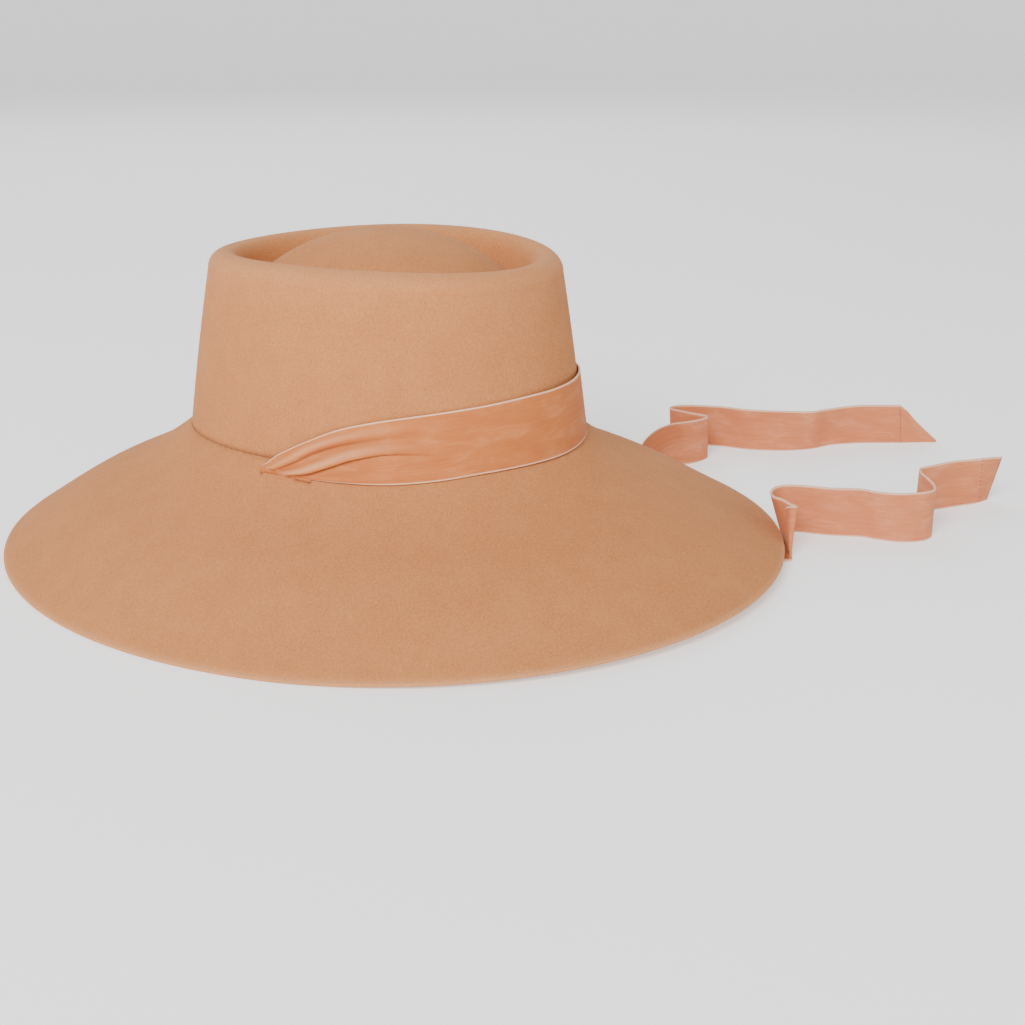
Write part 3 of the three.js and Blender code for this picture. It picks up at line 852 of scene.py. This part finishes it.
@dataclass
class Band:
    """The ribbon round the end of the crown, gathered in two pleats at each slit."""

    form: HatForm
    width: float = 31.5
    thickness: float = 0.85
    clearance: float = 0.5
    tail: float = 11.0
    steps: int = 300
    across: int = 60
    tail_rows: int = 10
    mouth_sink: float = 1.3
    upper_height: float = 1.9
    lap_height: float = 3.0
    under_height: float = 1.5
    swell_height: float = 1.2
    read: dict[int, dict[str, float]] = field(default_factory=dict)
    sections: tuple[BandSection, ...] = (
        BandSection(85, -0.06, 1.09, 99.6, 1.27, 0.7, 0.73, 0.43, 0),
        BandSection(86.3, -0.03, 0.86, 100.4, 1.27, 0.85, 0.7, 0.38, 0.2),
        BandSection(89.3, 0.108, 0.5, 102.5, 1.27, 1, 0.66, 0.31, 0.5),
        BandSection(97.6, 0.343, 0.31, 107.5, 1.25, 1, 0.73, 0.38, 1),
        BandSection(106.7, 0.552, 0.25, 113, 1.28, 0.85, 0.73, 0.46, 0.9),
        BandSection(117.7, 0.695, 0.21, 120, 1.24, 0.5, 0.73, 0.49, 0.3),
        BandSection(131, 0.803, 0.21, 131, 0.92, 0.12, 0.74, 0.4, 0),
        BandSection(144, 0.879, 0.21, 143.5, 0.46, 0, 0.74, 0.35, 0),
        BandSection(159, 0.945, 0.25, 158.5, 0.23, 0, 0.74, 0.35, 0),
        BandSection(173, 0.97, 0.44, 173, 0.21, 0, 0.74, 0.35, 0),
    )

    def whole(self) -> list[BandSection]:
        """The table with its mirrored half."""
        turned = []
        for row in reversed(self.sections):
            values = {f.name: getattr(row, f.name) for f in fields(row)}
            values["upper_turn"], values["lower_turn"] = 360 - row.upper_turn, 360 - row.lower_turn
            turned.append(BandSection(**values))
        return [*self.sections, *turned]

    def relief(self, up: float, fold: float, high: float, low: float, hollow: float) -> float:
        """How far the gathered ribbon stands proud at a share across it.

        Args:
            up: Share across the ribbon from its lower edge.
            fold: Strength of the pleats.
            high: Place of the upper crease.
            low: Place of the lower crease, where the fold laps over.
            hollow: Strength of the soft hollow under the lower crease.

        Returns:
            Height in millimetres, never below zero.
        """
        upper = self.upper_height * fold * math.exp(-(((up - high - 0.11) / 0.12) ** 2))
        upper *= smooth(-0.04, 0.06, up - high)
        between = (high - low) * 0.85
        lap = self.lap_height * fold * smooth(-0.008, 0.016, up - low)
        lap *= 1 - smooth(0.25, 1.0, (up - low) / between)
        under = self.under_height * hollow * math.exp(-(((up - low * 0.25) / 0.11) ** 2))
        swell = self.swell_height * hollow * math.exp(-(((up - low * 0.72) / 0.09) ** 2))
        return upper + lap + under + swell

    def section(self, step: int) -> dict[str, float]:
        """The table's values at a row of the band between its tails."""
        if step not in self.read:
            table = self.whole()
            self.read[step] = {c.name: column(table, c.name, step / self.steps) for c in fields(BandSection)}
        return self.read[step]

    def tone_and_painted_light(self, i: int, j: int) -> float:
        """Painted light at a row of the band: painted shade in the creases and hollow, a painted highlight on
        the folds.
        """
        step = i - self.tail_rows
        if not 0 <= step <= self.steps:
            return 0.0
        v = self.section(step)
        fold, up = max(0.0, v["fold"]), j / self.across
        # painted shade in the creases and the hollow
        painted_shade = math.exp(-(((up - v["low_crease"] + 0.012) / 0.022) ** 2))
        painted_shade += 0.7 * math.exp(-(((up - v["high_crease"]) / 0.05) ** 2))
        painted_shade += 0.35 * max(0.0, v["hollow"]) * math.exp(-(((up - v["low_crease"] * 0.5) / 0.07) ** 2))
        # painted highlight on the folds
        pale = 0.8 * math.exp(-(((up - v["low_crease"] - 0.1) / 0.07) ** 2))
        pale += 0.6 * math.exp(-(((up - v["high_crease"] - 0.13) / 0.07) ** 2))
        return fold * (pale - painted_shade)

    def rows(self) -> list[list[Vector]]:
        """Sections from the near slit to the far one, with the tails that pass down through the slits."""
        f = self.form
        made = []
        for i in range(self.steps + 1):
            v = self.section(i)
            low_stand = f.slit_standoff * v["lower_stand"]
            row = []
            for j in range(self.across + 1):
                up = j / self.across
                turn = blend(v["lower_turn"], v["upper_turn"], up)
                stand = blend(low_stand, f.slit_standoff * v["upper_stand"], up)
                rise = blend(self.seat(turn, low_stand), self.width * v["upper_rise"], up)
                fold, hollow = max(0, v["fold"]), max(0, v["hollow"])
                proud = self.relief(up, fold, v["high_crease"], v["low_crease"], hollow)
                stand = max(stand, self.clearance + self.thickness / 2)
                open_share = smooth(0, 0.025, min(i, self.steps - i) / self.steps)
                sunk = self.mouth_sink * (1 - smooth(0, 0.014, min(i, self.steps - i) / self.steps))
                row.append(f.wall(turn, max(rise, self.seat(turn, stand)) - sunk, stand + proud * open_share))
            made.append(row)
        return [*self.tails(made[0])[::-1], *made, *self.tails(made[-1])]

    def tails(self, row: Sequence[Vector]) -> list[list[Vector]]:
        """The ribbon's end going down through a slit from its last visible section."""
        f = self.form
        side = math.copysign(f.head_width + f.slit_standoff, row[0].x)
        made = []
        mouth = [Vector((side, p.y, p.z - self.thickness * 1.5)) for p in row]
        made.extend([p.lerp(m, step / 4) for p, m in zip(row, mouth)] for step in range(1, 5))
        foot = [Vector((side, p.y, f.brim_fall - self.tail)) for p in row]
        made.extend([p.lerp(m, step / 6) for p, m in zip(mouth, foot)] for step in range(1, 7))
        return made

    def seat(self, turn: float, stand: float) -> float:
        """Height above the seam at which the ribbon clears the brim."""
        f = self.form
        return f.brim_top(stand / f.brim_width, turn) - f.seam(turn) + self.thickness * 0.65 + f.seam_gap

    def build(self, finish: bpy.types.Material) -> bpy.types.Object:
        """Builds the band."""
        piece = ribbon("band_ribbon", self.rows(), self.width, self.form, finish, self.tone_and_painted_light)
        thicken(piece, self.thickness, 0, False)
        return piece


@dataclass
class Tie:
    """A loose ribbon end that runs out under the brim and lies on its side in waves."""

    form: HatForm
    name: str
    sections: tuple[TieSection, ...]
    hem: float
    hem_tone: float
    width: float = 24.5
    thickness: float = 1.0
    fineness: int = 9
    across: int = 12
    hem_stitches: int = 11

    def rows(self) -> list[list[Vector]]:
        """Sections from the slit to the cut end, none of them below the floor."""
        f = self.form
        steps = (len(self.sections) - 1) * self.fineness
        made = []
        for i in range(steps + 1):
            v = {c.name: column(self.sections, c.name, i / steps) for c in fields(TieSection)}
            half_width, half_length = f.head_width + f.brim_width, f.head_length + f.brim_length
            foot = Vector((v["x"] * half_width, v["y"] * half_length, max(0, v["drop"]) * f.brim_fall))
            tip = min(1.0, math.hypot(v["lean_x"], v["lean_y"]))
            across = Vector((v["lean_x"], v["lean_y"], 0)).normalized() * tip
            across.z = math.sqrt(max(0.0, 1 - tip * tip))
            tall = self.width * v["tall"]
            made.append([foot + across * (tall * j / self.across) for j in range(self.across + 1)])
        return [self.settle(made, i) for i in range(len(made))]

    def settle(self, rows: Sequence[Sequence[Vector]], i: int) -> list[Vector]:
        """Lifts a section so that the ribbon's thickness stays on the floor."""
        row, last = rows[i], len(rows) - 1
        along = rows[min(i + 1, last)][0] - rows[max(i - 1, 0)][0]
        normal = along.cross(row[-1] - row[0])
        half = abs(normal.normalized().z) * self.thickness / 2
        lowest = min(p.z for p in row) - half
        rise = -lowest if lowest < self.thickness else 0
        return [p + Vector((0, 0, rise)) for p in row]

    def build(self, finish: bpy.types.Material) -> bpy.types.Object:
        """Builds the tie."""
        hem_row = self.hem * (len(self.sections) - 1) * self.fineness

        def mark(i: int, j: int) -> float:
            """Tone beyond the hem: painted shade below zero, paler above zero."""
            return self.hem_tone * (i > hem_row + 0.5)

        piece = ribbon(self.name, self.rows(), self.width, self.form, finish, mark)
        thicken(piece, self.thickness, 0, False)
        return piece

    def hem_line(self) -> list[tuple[Vector, Vector]]:
        """Places and directions for a line of stitches across the ribbon at its hem."""
        rows = self.rows()
        i = round(self.hem * (len(rows) - 1))
        row = rows[i]
        normal = (rows[i + 1][0] - rows[i - 1][0]).cross(row[-1] - row[0]).normalized() * self.thickness / 2
        made = []
        for k in range(self.hem_stitches):
            place = row[0].lerp(row[-1], (k + 0.5) / self.hem_stitches)
            for side in (-1, 1):
                made.append((place + normal * side, (row[-1] - row[0]).normalized()))
        return made


# Stitches


@dataclass
class Stitches:
    """A run of short stitches in one mesh."""

    form: HatForm
    name: str
    length: float
    gauge: float
    seed: int = 7

    def build(self, places: Sequence[tuple[Vector, Vector]], finish: bpy.types.Material) -> bpy.types.Object:
        """Sets one stitch at each place.

        Args:
            places: Middle and direction of each stitch, in the hat's frame.
            finish: The thread's material.

        Returns:
            The stitches' object.
        """
        chance = random.Random(self.seed)
        made = bmesh.new()
        for middle, direction in places:
            turn = direction.to_track_quat("X", "Z").to_matrix().to_4x4()
            half = self.length * chance.uniform(0.42, 0.5)
            size = Matrix.Diagonal((half * MM, self.gauge / 2 * MM, self.gauge / 2 * MM, 1))
            place = Matrix.Translation(self.form.part(middle)) @ turn @ size
            bmesh.ops.create_uvsphere(made, u_segments=8, v_segments=5, radius=1, matrix=place)
        return show(self.name, made, finish)


def seam_places(form: HatForm, pitch: float, rise: float, stand: float) -> list[tuple[Vector, Vector]]:
    """Places of stitches in the corner of crown and brim, evenly along the oval.

    Args:
        form: The hat's shared sizes.
        pitch: Distance from one stitch to the next.
        rise: Height above the seam.
        stand: Distance out from the crown's wall.

    Returns:
        Middle and direction of each stitch.
    """
    fine = [form.wall(turn / 4, rise, stand) for turn in range(1441)]
    made, run = [], 0.0
    for a, b in zip(fine, fine[1:]):
        run += (b - a).length
        if run >= pitch:
            run -= pitch
            made.append((b, (b - a).normalized()))
    return made


# Studio


@dataclass
class Studio:
    """Camera, soft lights and floor."""

    form: HatForm
    camera_place: Vector = Vector((-579.3, -373.9, 249.6))
    camera_aim: Vector = Vector((0.8340, 0.4422, -0.3294))
    lens: float = 52.28
    floor_reach: float = 6.0
    cove_height: float = 7.0
    sky: float = 0.3

    def light(self, name: str, place: Vector, size: float, power: float) -> None:
        """Adds a soft area light aimed at the hat."""
        lamp = bpy.data.lights.new(name, "AREA")
        lamp.size = size
        lamp.energy = power
        holder = bpy.data.objects.new(name, lamp)
        holder.location = place
        aim = self.form.part(Vector((0, 0, 70))) - place
        holder.rotation_euler = aim.to_track_quat("-Z", "Y").to_euler()
        bpy.context.collection.objects.link(holder)

    def cove(self) -> bmesh.types.BMesh:
        """A flat round floor that curves up far away, so that no horizon shows."""
        made = bmesh.new()
        radius = self.floor_reach * 0.8
        bmesh.ops.create_circle(made, segments=96, radius=radius, cap_ends=True)
        edges = list(made.edges)
        for step in range(13):
            angle = math.radians(90 * step / 12)
            grown = bmesh.ops.extrude_edge_only(made, edges=edges)["geom"]
            verts = [g for g in grown if isinstance(g, bmesh.types.BMVert)]
            edges = [g for g in grown if isinstance(g, bmesh.types.BMEdge)]
            wide = self.floor_reach + self.cove_height * 0.6 * math.sin(angle)
            bmesh.ops.scale(made, verts=verts, vec=(wide / radius, wide / radius, 1))
            for vert in verts:
                vert.co.z = self.cove_height * (1 - math.cos(angle))
            radius = wide
        bmesh.ops.recalc_face_normals(made, faces=made.faces)
        if max(made.faces, key=lambda face: len(face.verts)).normal.z < 0:
            bmesh.ops.reverse_faces(made, faces=made.faces)
        return made

    def build(self) -> None:
        """Sets up camera, lights and floor."""
        lens = bpy.data.cameras.new("camera")
        lens.lens = self.lens
        lens.clip_start, lens.clip_end = 0.01, 200
        camera = bpy.data.objects.new("camera", lens)
        camera.location = self.form.part(self.camera_place)
        camera.rotation_euler = self.camera_aim.to_track_quat("-Z", "Y").to_euler()
        bpy.context.collection.objects.link(camera)
        bpy.context.scene.camera = camera
        world = bpy.data.worlds.new("studio")
        bpy.context.scene.world = world
        world.use_nodes = True
        glow = world.node_tree.nodes["Background"].inputs
        glow["Color"].default_value = (1, 1, 1, 1)
        glow["Strength"].default_value = self.sky
        self.light("key", Vector((-1.9, -0.3, 1.5)), 1.2, 68)
        self.light("back", Vector((1.5, 1.3, 1.9)), 1.8, 24)
        show("floor", self.cove(), StudioFinish().make())


NEAR_SECTIONS = (
    TieSection(-0.4935, -0.0754, 0.86, 0, 1),
    TieSection(-0.4925, -0.0764, 0.5, 0.1, 0.99),
    TieSection(-0.4886, -0.0804, 0.22, 0.3, 0.95),
    TieSection(-0.4719, -0.0905, 0.06, 0.5, 0.87),
    TieSection(-0.4227, -0.1257, 0, 0.66, 0.75),
    TieSection(-0.1207, -0.4725, 0, 0.78, 0.62),
    TieSection(0.1611, -0.794, 0, 0.8, 0.6),
    TieSection(0.2804, -0.93, 0, 0.9, 0.42),
    TieSection(0.2996, -0.9686, 0, 0.93, 0.33),
    TieSection(0.317, -0.9665, 0, 0.42, 0.28),
    TieSection(0.3252, -0.9629, 0, 0.2, 0.12),
    TieSection(0.3316, -0.9597, 0, 0.2, 0),
    TieSection(0.3519, -0.9503, 0, 0.16, 0.1),
    TieSection(0.3909, -0.9362, 0, 0.03, 0.17),
    TieSection(0.4299, -0.92, 0, -0.135, 0.22),
    TieSection(0.4654, -0.9033, 0, -0.2, 0.24),
    TieSection(0.4927, -0.8918, 0, -0.17, 0.21),
    TieSection(0.5143, -0.8887, 0, -0.12, 0.15),
    TieSection(0.53, -0.8991, 0, -0.08, 0.1),
    TieSection(0.5428, -0.9357, 0, -0.05, 0.07),
    TieSection(0.5542, -0.9982, 0, -0.04, 0.05),
    TieSection(0.5834, -1.0716, 0, -0.02, 0.08),
    TieSection(0.5844, -1.1118, 0, -0.05, 0.07),
    TieSection(0.5894, -1.163, 0, -0.01, 0.08),
    TieSection(0.6095, -1.1982, 0, 0.01, 0.09),
    TieSection(0.6417, -1.2234, 0, 0, 0.05),
    TieSection(0.6819, -1.2284, 0, -0.04, 0),
    TieSection(0.7262, -1.2123, 0, -0.01, -0.02),
    TieSection(0.7735, -1.1832, 0, 0, -0.04),
    TieSection(0.8177, -1.158, 0, -0.01, -0.05),
    TieSection(0.859, -1.157, 0, -0.07, 0.01),
    TieSection(0.9002, -1.1761, 0, -0.13, 0.08),
    TieSection(0.9756, -1.2314, 0, -0.03, 0.08),
    TieSection(1.033, -1.2736, 0, -0.09, 0.04),
    TieSection(1.0813, -1.2947, 0, 0.03, -0.22),
)
FAR_SECTIONS = (
    TieSection(0.4935, -0.0754, 0.86, 0, 1),
    TieSection(0.4916, -0.0764, 0.5, 0.08, 0.99),
    TieSection(0.5014, -0.0804, 0.22, 0.3, 0.95),
    TieSection(0.524, -0.0945, 0.06, 0.5, 0.87),
    TieSection(0.5604, -0.1277, 0, 0.6, 0.8),
    TieSection(0.7242, -0.3116, 0, 0.6, 0.8),
    TieSection(0.8047, -0.382, 0, 0.42, 0.91),
    TieSection(0.873, -0.4111, 0, 0.235, 0.972),
    TieSection(0.9354, -0.4292, 0, 0.235, 0.972),
    TieSection(0.9525, -0.4343, 0, 0.22, 0.88),
    TieSection(0.9666, -0.4413, 0, 0.18, 0.72),
    TieSection(0.9877, -0.4534, 0, 0.06, 0.5),
    TieSection(1.0119, -0.4644, 0, -0.07, 0.24),
    TieSection(1.043, -0.4745, 0, -0.07, 0.08),
    TieSection(1.0742, -0.4815, 0, -0.03, 0.02),
    TieSection(1.0973, -0.4805, 0, -0.04, 0.02),
    TieSection(1.1134, -0.4674, 0, -0.08, 0.02),
    TieSection(1.1215, -0.4383, 0, -0.1, 0.04),
    TieSection(1.1275, -0.3981, 0, -0.08, 0.05),
    TieSection(1.1346, -0.3609, 0, -0.06, 0.05),
    TieSection(1.1527, -0.3468, 0, -0.05, 0.03),
    TieSection(1.1778, -0.3528, 0, -0.06, 0.01),
    TieSection(1.204, -0.378, 0, -0.09, 0.04),
    TieSection(1.2241, -0.4162, 0, -0.1, 0.03),
    TieSection(1.2432, -0.4855, 0, -0.09, 0.01),
    TieSection(1.2482, -0.5649, 0, -0.09, 0.02),
    TieSection(1.2915, -0.6614, 0, -0.13, 0.02),
    TieSection(1.3528, -0.7268, 0, -0.24, -0.01),
    TieSection(1.4313, -0.769, 0, -0.29, 0),
    TieSection(1.4997, -0.8434, 0, -0.21, 0.03),
    TieSection(1.5671, -0.9509, 0, -0.22, 0.03),
    TieSection(1.6003, -0.9982, 0, -0.23, 0.04, 0.53),
    TieSection(1.6345, -1.0454, 0, -0.24, 0.05, 0.05),
)


def main() -> None:
    """Builds the hat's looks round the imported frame."""
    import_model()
    low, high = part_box("crown")
    form = HatForm()
    middle = Vector(((low[0] + high[0]) / 2, (low[1] + high[1]) / 2, 0))
    form.axis = middle / MM - Vector((0, form.head_shift, 0))
    Studio(form).build()
    felt = FeltFinish().make()
    band = Band(form)
    # the near tie's end beyond its hem is darkened as painted shade; the far tie's end is a little paler
    near = Tie(form, "near_ribbon", NEAR_SECTIONS, 0.976, -0.25)
    far = Tie(form, "far_ribbon", FAR_SECTIONS, 30.94 / 33, 0.12)
    band_tones = srgb(182, 98, 46), srgb(204, 126, 70), srgb(224, 158, 110)
    tie_tones = srgb(190, 108, 66), srgb(213, 137, 96), srgb(232, 170, 136)
    band_finish = VelvetFinish("band_velvet", band.width, *band_tones).make()
    tie_finish = VelvetFinish("tie_velvet", near.width, *tie_tones).make()
    crown = Crown(form).build(felt)
    brim = Brim(form).build(felt)
    cloth = {
        "velvet_band": (band.build(band_finish), band.width, "gathered", ["brim_felt"], "band_velvet"),
        "near_tie": (near.build(tie_finish), near.width, "laid", ["floor"], "tie_velvet"),
        "far_tie": (far.build(tie_finish), far.width, "laid", ["floor"], "tie_velvet"),
    }
    for node, (piece, width, held, rests_on, slot) in cloth.items():
        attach(piece, "root")
        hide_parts(node)
        width * MM
        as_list(rests_on)
    for piece, node in ((crown, "crown"), (brim, "brim")):
        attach(piece, "root")
        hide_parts(node)
    dark = ThreadFinish("seam_thread", srgb(140, 88, 50), srgb(176, 120, 78)).make()
    pale = ThreadFinish("hem_thread", srgb(140, 74, 50), srgb(176, 104, 76)).make()
    sewn = [
        (Stitches(form, "seam_stitches", 3.2, 0.36).build(seam_places(form, 4.3, 0.25, 0.12), dark), "felt"),
        (Stitches(form, "near_hem_stitches", 1.5, 0.5).build(near.hem_line(), pale), "tie_velvet"),
        (Stitches(form, "far_hem_stitches", 1.5, 0.5).build(far.hem_line(), pale), "tie_velvet"),
    ]
    for piece, slot in sewn:
        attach(piece, "root")


if __name__ == "__main__":
    logging.basicConfig(level=logging.INFO)
    main()
